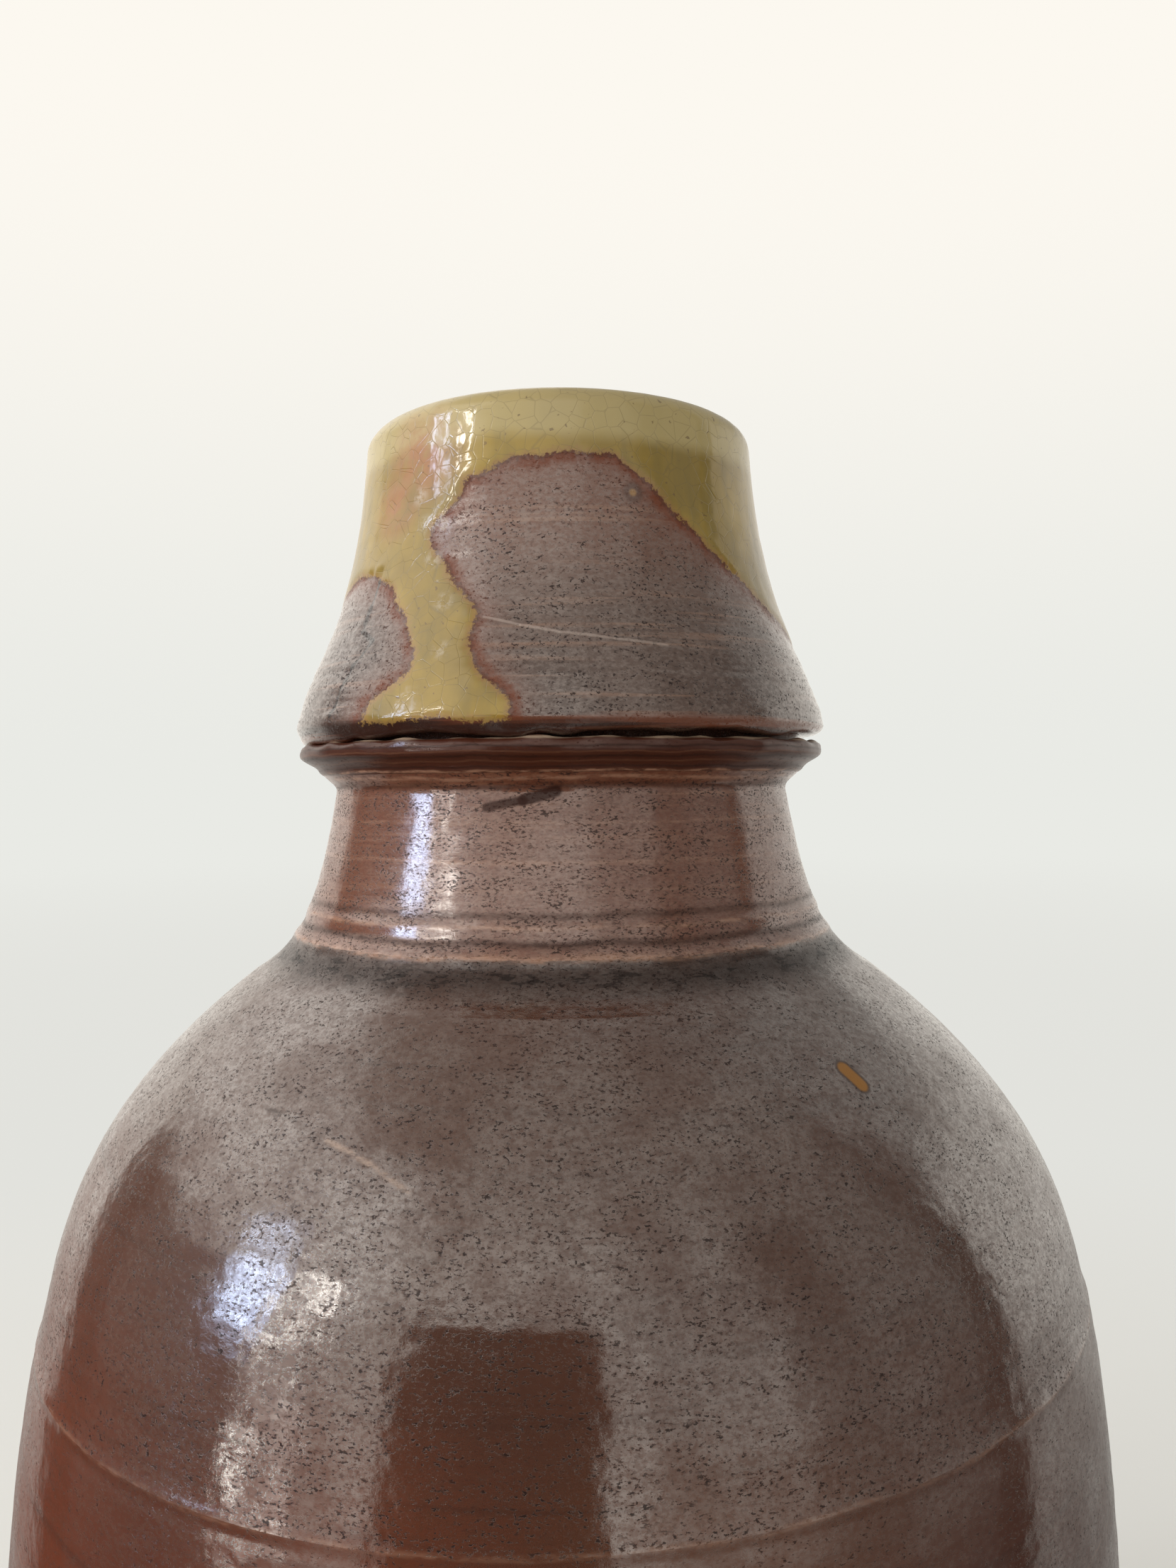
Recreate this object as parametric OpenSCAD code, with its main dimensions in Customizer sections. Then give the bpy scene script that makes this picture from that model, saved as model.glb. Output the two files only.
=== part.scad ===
// Stoneware sake bottle, built as the clay sections that a potter joins.
// The bottle stands on z = 0 with its axis on Z. All sizes are in millimetres.

/* [Body] */

// Radius of the flat foot
foot_r = 44; // [42:0.5:46]
// Largest radius of the belly
belly_r = 55.5; // [54.5:0.5:58]
// Height of the belly's largest radius
belly_z = 64; // [60:1:68]
// Height of the seam where the shoulder is joined on
seam_z = 97.8; // [96.8:0.2:98.8]
// Outer radius at that seam
seam_r = 52.8; // [52.2:0.2:53.4]
// Thickness of the clay wall
wall = 5; // [4.4:0.2:5.4]
// Thickness of the base disc under the wall
base_t = 6; // [5:0.5:7]

/* [Foot] */

// Depth of the shallow recess under the foot
recess_h = 0.8; // [0.4:0.2:1.6]
// Radius of that recess
recess_r = 35; // [32:0.5:37]
// Radius of the plug of the base disc inside the wall
plug_r = 41; // [40:0.5:41.5]
// Height of that plug above the joint
plug_h = 3; // [2:0.5:4]

/* [Neck] */

// Height where the neck is joined to the shoulder
root_z = 133.2; // [133:0.1:133.6]
// Outer radius at the neck's narrowest place
waist_r = 24.1; // [23.9:0.1:24.5]
// Height of the neck's narrowest place
waist_z = 147.5; // [147.2:0.1:147.8]
// Radius of the tenon that stands inside the neck
tenon_r = 25.2; // [24.8:0.1:25.5]
// Height of that tenon
tenon_h = 3; // [2:0.5:4]
// Radius of the hole down the neck
neck_bore_r = 19; // [18.4:0.2:19.4]

/* [Lip ring] */

// Underside of the lip ring where it is luted to the neck
lip_z = 149.4; // [149.2:0.1:149.8]
// Upper face of the lip ring
lip_top = 152.4; // [152.2:0.1:152.6]
// Outer radius of the lip ring
lip_r = 27.8; // [27.4:0.1:28.2]
// Outer radius of the neck tube inside the lip ring
tube_r = 22; // [21.6:0.2:22.4]
// Height of that tube above the lip ring
tube_h = 3; // [2:0.5:4]

/* [Mouth collar] */

// Full height of the bottle
total_h = 185.6; // [184:0.2:188]
// Largest radius of the collar, close to its lower edge
collar_r = 28.1; // [27.9:0.1:28.4]
// Open crevice between the collar's edge and the lip ring
crevice = 0.8; // [0.5:0.1:1.2]
// Radius at the bottom of the crevice
seat_r = 25.3; // [24.8:0.1:25.8]
// Outer radius just under the rim
rim_r = 20.45; // [20.2:0.05:20.8]
// Radius of the mouth
mouth_r = 15.5; // [15:0.1:16]
// Length of the straight part of the mouth
mouth_len = 12; // [10:1:13]
// Height of the rounding on the rim
rim_round = 2.4; // [2:0.1:2.6]

/* [Hidden] */

$fn = 240;
steps = 14;

// Seam at the belly: a tongue on the lower wall in a groove of the shoulder
tongue_r = seam_r - wall * 0.55;
tongue_w = 1.8;
tongue_h = 3;

// A smooth curve from p to q with handles a and b
function curve(p, a, b, q, n = steps) = [
    for (i = [0:n])
        let (t = i / n, s = 1 - t)
        s * s * s * p + 3 * s * s * t * a + 3 * s * t * t * b + t * t * t * q
];

// All but the last point, for joining curves end to end
function open_end(c) = [for (i = [0:len(c) - 2]) c[i]];
function reversed(c) = [for (i = [len(c) - 1:-1:0]) c[i]];

// Unit normal that points from the outer face towards the axis
function inward(c, i) =
    let (
        d = c[min(i + 1, len(c) - 1)] - c[max(i - 1, 0)],
        m = norm(d)
    )
    [-d[1] / m, d[0] / m];

foot_edge = [foot_r, 1.2];
belly = [belly_r, belly_z];
seam = [seam_r, seam_z];
spring = [32.8, 129];
waist = [waist_r, waist_z];

// Outer face from the foot to the neck's narrowest place
outer = concat(
    open_end(curve(foot_edge, foot_edge + [6, 15], belly - [0, 29], belly)),
    open_end(curve(belly, belly + [0, 14], seam + [1.4, -5.8], seam, 10)),
    open_end(curve(seam, seam + [-1.8, 6.4], spring + [18.3, -13.9], spring, 22)),
    curve(spring, spring + [-4, 2.5], waist + [2.2, -13.5], waist, 20)
);

// Inner face: the outer face moved in by the wall, between the floor and the neck
floor_z = base_t + plug_h;
moved = [for (i = [0:len(outer) - 1]) outer[i] + wall * inward(outer, i)];
inner = [for (p = moved) if (p[1] > floor_z + 1 && p[1] < waist_z - 3) p];
inner_foot = inner[0];

// One wall from the base disc to the top of the neck tube, before it is cut at the seams
module whole_wall() {
    under_lip = curve(waist, waist + [-0.1, 0.9], [lip_r - 3.4, lip_z - 1],
                      [lip_r - 2.4, lip_z], 8);
    rotate_extrude()
        polygon(concat(
            outer,
            [for (i = [1:8]) under_lip[i]],
            [
                [tube_r, lip_z],
                [tube_r, lip_top + tube_h],
                [neck_bore_r, lip_top + tube_h],
                [neck_bore_r, waist_z - 2]
            ],
            reversed(inner),
            [
                [plug_r, floor_z],
                [plug_r, foot_edge[1]]
            ]
        ));
}

// A plain ring used for cutting and for the joints
module ring(r_in, r_out, z, h) {
    translate([0, 0, z])
        difference() {
            cylinder(r = r_out, h = h);
            translate([0, 0, -1]) cylinder(r = r_in, h = h + 2);
        }
}

module slab(z0, z1) {
    translate([0, 0, z0]) cylinder(r = belly_r + 10, h = z1 - z0);
}

module base_disc() {
    rim = [for (p = outer) if (p[1] < base_t) p];
    k = len(rim);
    side = rim[k - 1] + (outer[k] - rim[k - 1])
        * (base_t - rim[k - 1][1]) / (outer[k][1] - rim[k - 1][1]);
    color("saddlebrown")
        rotate_extrude()
            polygon(concat(
                [
                    [0, recess_h],
                    [recess_r - 1, recess_h],
                    [recess_r, 0],
                    [foot_r - 1.2, 0],
                    [foot_r - 0.4, 0.3]
                ],
                rim,
                [
                    side,
                    [plug_r, base_t],
                    [plug_r, floor_z],
                    [0, floor_z]
                ]
            ));
}

module lower_wall() {
    color("sienna") {
        intersection() {
            whole_wall();
            slab(base_t, seam_z);
        }
        ring(tongue_r - tongue_w / 2, tongue_r + tongue_w / 2, seam_z - 0.5, tongue_h + 0.5);
    }
}

module shoulder() {
    color("rosybrown")
        difference() {
            intersection() {
                whole_wall();
                slab(seam_z, root_z + tenon_h);
            }
            ring(tongue_r - tongue_w / 2, tongue_r + tongue_w / 2, seam_z - 1, tongue_h + 1);
            ring(tenon_r, tenon_r + 20, root_z, tenon_h + 1);
        }
}

module neck() {
    color("peru")
        difference() {
            intersection() {
                whole_wall();
                slab(root_z, lip_top + tube_h + 1);
            }
            translate([0, 0, root_z - 1]) cylinder(r = tenon_r, h = tenon_h + 1);
        }
}

module lip_ring() {
    edge = curve([lip_r - 2.4, lip_z], [lip_r - 1.5, lip_z + 0.9], [lip_r - 0.1, lip_z + 1.4],
                 [lip_r, lip_z + 2.3], 8);
    color("burlywood")
        rotate_extrude()
            polygon(concat(
                [[tube_r, lip_z]],
                edge,
                [
                    [lip_r - 0.2, lip_top - 0.2],
                    [lip_r - 0.7, lip_top],
                    [tube_r, lip_top]
                ]
            ));
}

module mouth_collar() {
    low = lip_top + crevice;
    rim_z = total_h - rim_round;
    bore_z = rim_z - mouth_len;
    mid_r = (rim_r + mouth_r) / 2;
    half = (rim_r - mouth_r) / 2;
    side = curve([collar_r, low + 1], [collar_r - 1.45, low + 8.3], [rim_r + 1.25, rim_z - 18.6],
                 [rim_r, rim_z], 18);
    round_over = [
        for (a = [10:10:170])
            [mid_r + half * cos(a), rim_z + rim_round * sin(a)]
    ];
    throat = curve([mouth_r, bore_z], [mouth_r, bore_z - 5], [neck_bore_r, bore_z - 7],
                   [neck_bore_r, lip_top + tube_h], 12);
    color("darkkhaki")
        rotate_extrude()
            polygon(concat(
                [
                    [tube_r, lip_top],
                    [seat_r, lip_top],
                    [seat_r + 0.3, low - 0.1],
                    [collar_r - 0.8, low],
                    [collar_r - 0.2, low + 0.4]
                ],
                side,
                round_over,
                [[mouth_r, rim_z]],
                throat,
                [[tube_r, lip_top + tube_h]]
            ));
}

base_disc();
lower_wall();
shoulder();
neck();
lip_ring();
mouth_collar();
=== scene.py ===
from math import atan2, cos, exp, hypot, pi, radians, sin
import bpy
import bmesh
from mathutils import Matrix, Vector, noise
from mathutils.geometry import interpolate_bezier


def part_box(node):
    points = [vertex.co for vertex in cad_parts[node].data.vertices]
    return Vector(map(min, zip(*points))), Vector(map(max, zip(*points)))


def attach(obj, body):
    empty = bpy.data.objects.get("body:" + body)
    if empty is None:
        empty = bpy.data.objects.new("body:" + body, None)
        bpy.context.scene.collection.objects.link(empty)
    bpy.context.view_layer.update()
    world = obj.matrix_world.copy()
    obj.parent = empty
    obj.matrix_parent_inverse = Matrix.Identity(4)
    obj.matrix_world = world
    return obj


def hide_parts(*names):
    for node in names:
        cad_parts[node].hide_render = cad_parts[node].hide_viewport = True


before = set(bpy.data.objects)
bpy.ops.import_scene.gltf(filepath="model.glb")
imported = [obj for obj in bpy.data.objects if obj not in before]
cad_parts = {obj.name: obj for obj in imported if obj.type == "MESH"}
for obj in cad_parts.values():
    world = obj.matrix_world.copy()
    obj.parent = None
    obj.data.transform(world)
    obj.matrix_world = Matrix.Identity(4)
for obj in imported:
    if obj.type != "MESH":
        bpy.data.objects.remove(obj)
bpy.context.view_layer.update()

mm = 0.001
turnSteps = 240  # faces round the bottle


# an outline is a list of points in mm, x the radius and z the height
def point(radius, height):
    return Vector((radius, 0.0, height))


def bend(start, handleA, handleB, end, count):
    return interpolate_bezier(point(*start), point(*handleA), point(*handleB), point(*end), count)


def pull(place, offset):
    return place[0] + offset[0], place[1] + offset[1]


def line(start, end, count=2):
    a, b = point(*start), point(*end)
    return [a.lerp(b, i / (count - 1)) for i in range(count)]


def join(*runs):
    path = []
    for run in runs:
        for p in run:
            if not path or (p - path[-1]).length > 0.01:
                path.append(p)
    return path


def innerFace(outer, thickness):
    moved = []
    for i, p in enumerate(outer):
        d = (outer[min(i + 1, len(outer) - 1)] - outer[max(i - 1, 0)]).normalized()
        moved.append(p + thickness * point(-d.z, d.x))
    return moved


def cut(run, low, high):  # the part between two heights, with a point on each
    ends = []
    for height in (low, high):
        for a, b in zip(run, run[1:]):
            if min(a.z, b.z) <= height <= max(a.z, b.z) and abs(a.z - b.z) > 1e-6:
                ends.append(a.lerp(b, (height - a.z) / (b.z - a.z)))
                break
    return join(ends[:1], [p for p in run if low < p.z < high], ends[1:])


def backwards(run, step):  # a hidden face needs only every few points
    return list(reversed(run[:-1:step] + [run[-1]]))


# heights where the sections meet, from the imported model
def heights(node):
    low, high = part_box(node)
    return low[2] / mm, high[2] / mm


baseTop = heights("lower_wall")[0]
floorTop = heights("base_disc")[1]
seamHeight, tenonTop = heights("shoulder")
tongueTop = heights("lower_wall")[1]
rootHeight, tubeTop = heights("neck")
lipLow, lipTop = heights("lip_ring")
collarTop = heights("mouth_collar")[1]
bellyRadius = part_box("lower_wall")[1][0] / mm

wall = {
    # corners of the outside, as radius and height
    "foot": (44.0, 1.2), "belly": (bellyRadius, 64.0), "seam": (52.8, seamHeight),
    "spring": (32.8, 129.0), "waist": (24.1, 147.5),
    # the curves between them: start, the pull at each end, end, points
    "curves": [("foot", (6, 15), (0, -29), "belly", 90), ("belly", (0, 14), (1.4, -5.8), "seam", 64),
               ("seam", (-1.8, 6.4), (18.3, -13.9), "spring", 100),
               ("spring", (-4, 2.5), (2.2, -13.5), "waist", 90)],
    "clay": 5.0,  # thickness
    "neckBore": 19.0, "tube": 22.0,  # inside and outside of the tube within the lip ring
    "plug": 41.0, "tenon": 25.2, "tongue": (49.15, 50.95),  # radii of the hidden joints
    # raised lines and one groove at the seams and the root of the neck: height, rise, width
    "ridges": [(seamHeight, 0.10, 0.45), (rootHeight, 0.12, 0.5), (135.7, 0.08, 0.45), (134.5, -0.08, 0.5)],
}


def outerWall():
    runs = []
    for start, startPull, endPull, end, count in wall["curves"]:
        a, b = wall[start], wall[end]
        runs.append(bend(a, pull(a, startPull), pull(b, endPull), b, count))
    return join(*runs)


outerFace = outerWall()
insideFace = innerFace(outerFace, wall["clay"])
print("outline ready:", len(outerFace), "points")


# relief of the thrown and glazed clay, in mm outwards
throwing = {
    "wander": 0.20,  # slow waviness of the whole wall
    "lines": 0.03, "peel": 0.03,  # throwing lines, and the glaze's fine unevenness
    "seamTilt": 1.45, "seamReach": 13.0,  # how far the belly seam runs off level, and fades
}
seamLean = throwing["seamTilt"] / wall["seam"][0]


def swirl(angle, height, around, up, shift=0.0):
    return noise.noise(Vector((cos(angle) * around + shift, sin(angle) * around, height * up)))


def ridge(height, centre, width):
    return exp(-((height - centre) / width) ** 2)


def ease(value, low, high):
    t = min(max((value - low) / (high - low), 0.0), 1.0)
    return t * t * (3 - 2 * t)


def seamSway(angle, height):
    return throwing["seamTilt"] * sin(angle) * exp(-((height - seamHeight) / throwing["seamReach"]) ** 2)


def thrownRelief(angle, height, lines=throwing["lines"]):
    slow = throwing["wander"] * swirl(angle, height, 0.9, 0.02)
    thrown = lines * (swirl(angle, height, 0.6, 0.75) + 0.6 * swirl(angle, height, 0.9, 1.9, 4.0))
    peel = swirl(angle, height, 22.0, 0.45, 9.0) + 0.5 * swirl(angle, height, 50.0, 1.1, 2.0)
    return slow + thrown + throwing["peel"] * peel


def shownPart(outline, count):  # weight 1 on the first points, which show, and 0 on the rest
    return [1.0] * count + [0.0] * (len(outline) - count)


def spinSection(name, outline, weights, relief):
    shape = bmesh.new()
    skin = shape.verts.layers.float.new("skin")
    ring = []
    for p, weight in zip(outline, weights):
        v = shape.verts.new((0.0, -p.x * mm, p.z * mm))
        v[skin] = weight
        ring.append(v)
    closed = outline[0].x > 0.01  # an outline that starts on the axis also ends there
    pairs = list(zip(ring, ring[1:])) + ([(ring[-1], ring[0])] if closed else [])
    edges = [shape.edges.new(pair) for pair in pairs]
    bmesh.ops.spin(shape, geom=ring + edges, cent=(0, 0, 0), axis=(0, 0, 1), dvec=(0, 0, 0),
                   angle=2 * pi, steps=turnSteps, use_merge=True, use_duplicate=False)
    bmesh.ops.remove_doubles(shape, verts=shape.verts, dist=1e-6)
    bmesh.ops.recalc_face_normals(shape, faces=shape.faces)
    relief(shape, skin)
    mesh = bpy.data.meshes.new(name)
    shape.to_mesh(mesh)
    shape.free()
    mesh.shade_smooth()
    mesh.set_sharp_from_angle(angle=radians(50))
    piece = bpy.data.objects.new(name, mesh)
    bpy.context.scene.collection.objects.link(piece)
    print(name, len(mesh.polygons), "faces")
    return piece


def pushOut(v, angle, amount):
    v.co.x += sin(angle) * amount * mm
    v.co.y -= cos(angle) * amount * mm


def place(v):  # angle from the front, height and radius
    return atan2(v.co.x, -v.co.y), v.co.z / mm, hypot(v.co.x, v.co.y) / mm


def finishPiece(piece, node, glaze):
    piece.data.materials.append(glaze)
    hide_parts(node)
    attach(piece, "root")


# shader helpers: each one adds a node and gives back its output socket
def tone(red, green, blue):  # a colour as a screen shows it, 0 to 255
    shares = [c / 255 for c in (red, green, blue)]
    linear = [((c + 0.055) / 1.055) ** 2.4 if c > 0.04 else c / 12.92 for c in shares]
    return (*linear, 1.0)


def add(tree, kind, inputs, output=0, **settings):
    node = tree.nodes.new(kind)
    for name, value in settings.items():
        setattr(node, name, value)
    for name, value in inputs.items():
        if isinstance(value, bpy.types.NodeSocket):
            tree.links.new(value, node.inputs[name])
        else:
            node.inputs[name].default_value = value
    return node.outputs[output]


def maths(tree, operation, a, b=0.0, c=0.0, clamp=False):
    return add(tree, "ShaderNodeMath", {0: a, 1: b, 2: c}, operation=operation, use_clamp=clamp)


def times(tree, first, *others):
    for other in others:
        first = maths(tree, "MULTIPLY", first, other)
    return first


def total(tree, *parts):  # sum of each value times its weight
    result = 0.0
    for value, weight in parts:
        result = maths(tree, "MULTIPLY_ADD", value, weight, result)
    return result


def without(tree, mask, share=1.0):  # 1 where the mask is clear, less under it
    return maths(tree, "MULTIPLY_ADD", mask, -share, 1.0)


def blend(tree, amount, a, b, mode="MIX"):  # sockets 6, 7 and 2 are a Mix node's colours
    return add(tree, "ShaderNodeMix", {0: amount, 6: a, 7: b}, 2, data_type="RGBA", blend_type=mode,
               clamp_factor=mode == "MIX")


def between(tree, amount, a, b):  # sockets 2, 3 and 0 are its numbers
    return add(tree, "ShaderNodeMix", {0: amount, 2: a, 3: b}, 0, data_type="FLOAT")


def spread(tree, value, low, high, toLow=0.0, toHigh=1.0):
    return add(tree, "ShaderNodeMapRange", {0: value, 1: low, 2: high, 3: toLow, 4: toHigh},
               interpolation_type="SMOOTHSTEP")


def fadeOut(tree, value, low, high):
    return spread(tree, value, low, high, 1.0, 0.0)


def vectorMaths(tree, operation, inputs, output="Vector"):
    return add(tree, "ShaderNodeVectorMath", inputs, output, operation=operation)


def clayPlace(tree):  # object coordinates in mm
    return vectorMaths(tree, "SCALE", {0: add(tree, "ShaderNodeTexCoord", {}, "Object"), "Scale": 1 / mm})


def along(tree, co, axis):
    return add(tree, "ShaderNodeSeparateXYZ", {0: co}, axis)


def grain(tree, co, scale, detail, rough, stretch=None, shift=(0, 0, 0)):
    if stretch or shift != (0, 0, 0):
        co = add(tree, "ShaderNodeMapping", {"Vector": co, "Scale": stretch or (1, 1, 1), "Location": shift})
    return add(tree, "ShaderNodeTexNoise", {"Vector": co, "Scale": scale, "Detail": detail,
                                            "Roughness": rough})


def ringLine(tree, height, wobble, centre, halfWidth):
    off = maths(tree, "SUBTRACT", maths(tree, "ADD", height, wobble), centre)
    return fadeOut(tree, maths(tree, "ABSOLUTE", off), 0.0, halfWidth)


def spot(tree, co, centre, inner, outer):  # soft round mask about a point in mm
    return fadeOut(tree, vectorMaths(tree, "DISTANCE", {0: co, 1: centre}, "Value"), inner, outer)


def scratch(tree, co, start, end, width, soft):  # mask along a line between two points in mm
    way = tuple(b - a for a, b in zip(start, end))
    fromStart = vectorMaths(tree, "SUBTRACT", {0: co, 1: start})
    share = vectorMaths(tree, "DOT_PRODUCT", {0: fromStart, 1: way}, "Value")
    share = maths(tree, "DIVIDE", share, sum(part * part for part in way), clamp=True)
    nearest = vectorMaths(tree, "SCALE", {0: way, "Scale": share})
    distance = vectorMaths(tree, "DISTANCE", {0: fromStart, 1: nearest}, "Value")
    return fadeOut(tree, distance, width, width + soft)


def pinholes(tree, co, scale, stretch, start, end):  # small holes that lie in uneven rows
    holes = spread(tree, grain(tree, co, scale, 3.0, 0.65, stretch, (31, 7, 0)), start, end)
    rows = grain(tree, co, 0.5, 4.0, 0.7, (0.6, 0.6, 1.6), (1, 8, 3))
    return times(tree, holes, spread(tree, rows, 0.42, 0.56, 0.25))


def bumpFrom(tree, height, strength, depth):
    return add(tree, "ShaderNodeBump", {"Height": height, "Strength": strength, "Distance": depth})


def onWall(turn, radius, height):  # a point in mm, at so many degrees from the front
    a = radians(turn)
    return (radius * sin(a), -radius * cos(a), height)


def onFace(face, turn, height):  # the same on an outline, just proud of it
    nearest = min(face, key=lambda corner: abs(corner.z - height))
    return onWall(turn, nearest.x + 0.05, height)


def startGlaze(name):
    glaze = bpy.data.materials.new(name)
    glaze.use_nodes = True
    return glaze, glaze.node_tree.nodes["Principled BSDF"]


def wire(tree, shader, sockets):
    for name, value in sockets.items():
        tree.links.new(value, shader.inputs[name])


def setGloss(shader, coatIor, coatRoughness):  # same all over, so on the shader's own sockets
    shader.inputs["IOR"].default_value = 1.4
    shader.inputs["Specular IOR Level"].default_value = 0.25
    shader.inputs["Coat IOR"].default_value = coatIor
    shader.inputs["Coat Roughness"].default_value = coatRoughness


# iron slip of the lower sections: a look holds what changes from one to the next
slip = {
    "glazeLine": 8.6, "bareEdge": 0.3, "scorch": (8.8, 10.2),  # heights of the bare clay and the burnt glaze
    "scorchTone": tone(58, 30, 21), "clayTones": (tone(140, 96, 70), tone(164, 120, 90)),
    "hairline": 0.1,  # scratches thinner than this are broken
}


def slipColour(tree, co, look, slow, mottle):
    colour = blend(tree, spread(tree, slow, 0.35, 0.65), look["deep"], look["warm"])
    # paler higher up: partly the glaze's own tone, partly painted light on the top of the shoulder
    upper = maths(tree, "MULTIPLY_ADD", slow, 40.0, along(tree, co, "Z"))
    colour = blend(tree, spread(tree, upper, 100.0, 138.0, 0.0, 0.8), colour, look["high"])
    for centre, inner, outer, blush, amount in look["blushes"]:
        colour = blend(tree, times(tree, spot(tree, co, centre, inner, outer), amount), colour, blush)
    streaks = grain(tree, co, look["streakScale"], 4.0, 0.6, (0.035, 0.035, 1.0))
    colour = blend(tree, spread(tree, streaks, 0.5, 0.75, 0.0, look["streaks"]), colour, look["streakTone"])
    return blend(tree, spread(tree, mottle, 0.42, 0.66, 0.0, look["haze"]), colour, look["hazeTone"])


def crystalSheen(tree, co, look, mottle, fine):  # glossy crystals lie in clouds over the slip
    broad = grain(tree, co, 0.11, 4.0, 0.6, shift=look["shift"])
    crystals = times(tree, spread(tree, broad, 0.34, 0.60, look["cloudLeast"]),
                     spread(tree, mottle, 0.36, 0.60, look["mottleLeast"]),
                     spread(tree, fine, 0.36, 0.54, look["fineLeast"]))
    return maths(tree, "MULTIPLY_ADD", crystals, look["sheen"] - look["sheenLeast"], look["sheenLeast"])


def drawRings(tree, co, look, broken, body, sheen):
    x, z = along(tree, co, "X"), along(tree, co, "Z")
    wander = times(tree, maths(tree, "SUBTRACT", grain(tree, co, 0.12, 3.0, 0.6), 0.5), 0.9)
    for centre, halfWidth, amount, lean, colour in look["rings"]:
        worn = colour == paleLine  # the others are pooled glaze: whole, clear, and with no crystals
        wobble = maths(tree, "MULTIPLY_ADD", x, -lean, wander)
        whole = maths(tree, "MAXIMUM", broken, 0.0 if worn else 0.75)
        mark = times(tree, ringLine(tree, z, wobble, centre, halfWidth), whole, amount)
        body = blend(tree, mark, body, colour)
        if not worn:
            sheen = times(tree, sheen, without(tree, mark, 0.95))
    return body, sheen


def drawScratches(tree, co, look, broken, body, sheen):
    for start, end, width, colour, amount in look["scratches"]:
        strength = times(tree, broken, amount) if width < slip["hairline"] else amount
        mark = times(tree, scratch(tree, co, start, end, width, 0.35), strength)
        body = blend(tree, mark, body, colour)
        sheen = times(tree, sheen, without(tree, mark, 0.85))
    return body, sheen


def ironSlip(name, look):
    glaze, shader = startGlaze(name)
    tree = glaze.node_tree
    co = clayPlace(tree)
    slow = grain(tree, co, 0.035, 3.0, 0.5, shift=look["shift"])
    mottle = grain(tree, co, look["mottle"], 5.0, 0.72, (0.8, 0.8, 1.5))
    fine = grain(tree, co, 3.1, 3.0, 0.7, shift=(4, 0, 8))
    body = slipColour(tree, co, look, slow, mottle)
    sheen = crystalSheen(tree, co, look, mottle, fine)
    pits = pinholes(tree, co, 3.3, (0.8, 0.8, 1.6), look["pitFrom"], look["pitFrom"] + 0.05)
    body = blend(tree, times(tree, pits, look["pits"]), body, look["pitTone"])
    broken = spread(tree, grain(tree, co, 0.9, 4.0, 0.7, (0.5, 0.5, 2.0)), 0.40, 0.60, 0.15)
    body, sheen = drawRings(tree, co, look, broken, body, sheen)
    body, sheen = drawScratches(tree, co, look, broken, body, sheen)
    sheen = times(tree, sheen, without(tree, pits, 0.8))

    # bare clay below the glaze line, scorched where they meet
    level = total(tree, (along(tree, co, "Z"), 1.0), (slow, 7.0), (broken, 0.4))
    bare = fadeOut(tree, level, slip["glazeLine"], slip["glazeLine"] + slip["bareEdge"])
    body = blend(tree, spread(tree, level, *slip["scorch"], 0.8, 0.0), body, slip["scorchTone"])
    body = blend(tree, bare, body, blend(tree, spread(tree, fine, 0.4, 0.6), *slip["clayTones"]))
    sheen = times(tree, sheen, without(tree, bare))

    roughness = maths(tree, "MULTIPLY_ADD", pits, 0.2, look["gloss"])
    roughness = maths(tree, "MULTIPLY_ADD", bare, 0.35, roughness, clamp=True)
    peel = grain(tree, co, 0.35, 2.0, 0.5)
    height = total(tree, (mottle, 0.3), (fine, 0.1), (pits, -0.25), (peel, look["peel"]))
    normal = bumpFrom(tree, height, look["bump"], 0.0001)
    wire(tree, shader, {"Base Color": body, "Roughness": roughness, "Normal": normal,
                        "Coat Normal": normal, "Coat Weight": sheen})
    setGloss(shader, look["coatIor"], look["coatRough"])
    return glaze


# base disc, with the spiral left by the cutting thread
baseDisc = {
    "recess": 35.0, "recessDepth": 0.8, "recessEdge": 1.2, "footEdge": 1.2,
    "spiralTurns": 11, "spiralDepth": 0.16, "lines": 0.05,
}


def baseClay(name):
    clay, shader = startGlaze(name)
    tree = clay.node_tree
    co = clayPlace(tree)
    patch = grain(tree, co, 0.06, 4.0, 0.6)
    sand = grain(tree, co, 2.2, 5.0, 0.75)
    colour = blend(tree, spread(tree, patch, 0.35, 0.65), tone(118, 66, 44), tone(146, 92, 62))
    colour = blend(tree, spread(tree, sand, 0.5, 0.72, 0.0, 0.6), colour, tone(84, 48, 36))
    grit = spread(tree, grain(tree, co, 1.1, 2.0, 0.5, shift=(5, 5, 5)), 0.66, 0.72)
    colour = blend(tree, grit, colour, tone(188, 160, 130))
    normal = bumpFrom(tree, total(tree, (sand, 1.0), (grit, 0.6)), 0.6, 0.0002)
    wire(tree, shader, {"Base Color": colour, "Roughness": spread(tree, sand, 0.3, 0.7, 0.62, 0.85),
                        "Normal": normal})
    return clay


def baseRelief(shape, skin):
    recess, depth = baseDisc["recess"], baseDisc["spiralDepth"]
    for v in shape.verts:
        angle, height, radius = place(v)
        if v[skin] > 0.5:
            pushOut(v, angle, thrownRelief(angle, height, baseDisc["lines"]))
        elif height < 1.0 and radius < recess - 1.0:
            turn = radius / recess * baseDisc["spiralTurns"] + angle / (2 * pi)
            groove = 0.5 + 0.5 * sin(turn * 2 * pi) + 0.3 * swirl(angle, radius, 3.0, 0.6)
            v.co.z -= depth * groove * ease(radius, 0.0, 2.0) * mm


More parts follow.
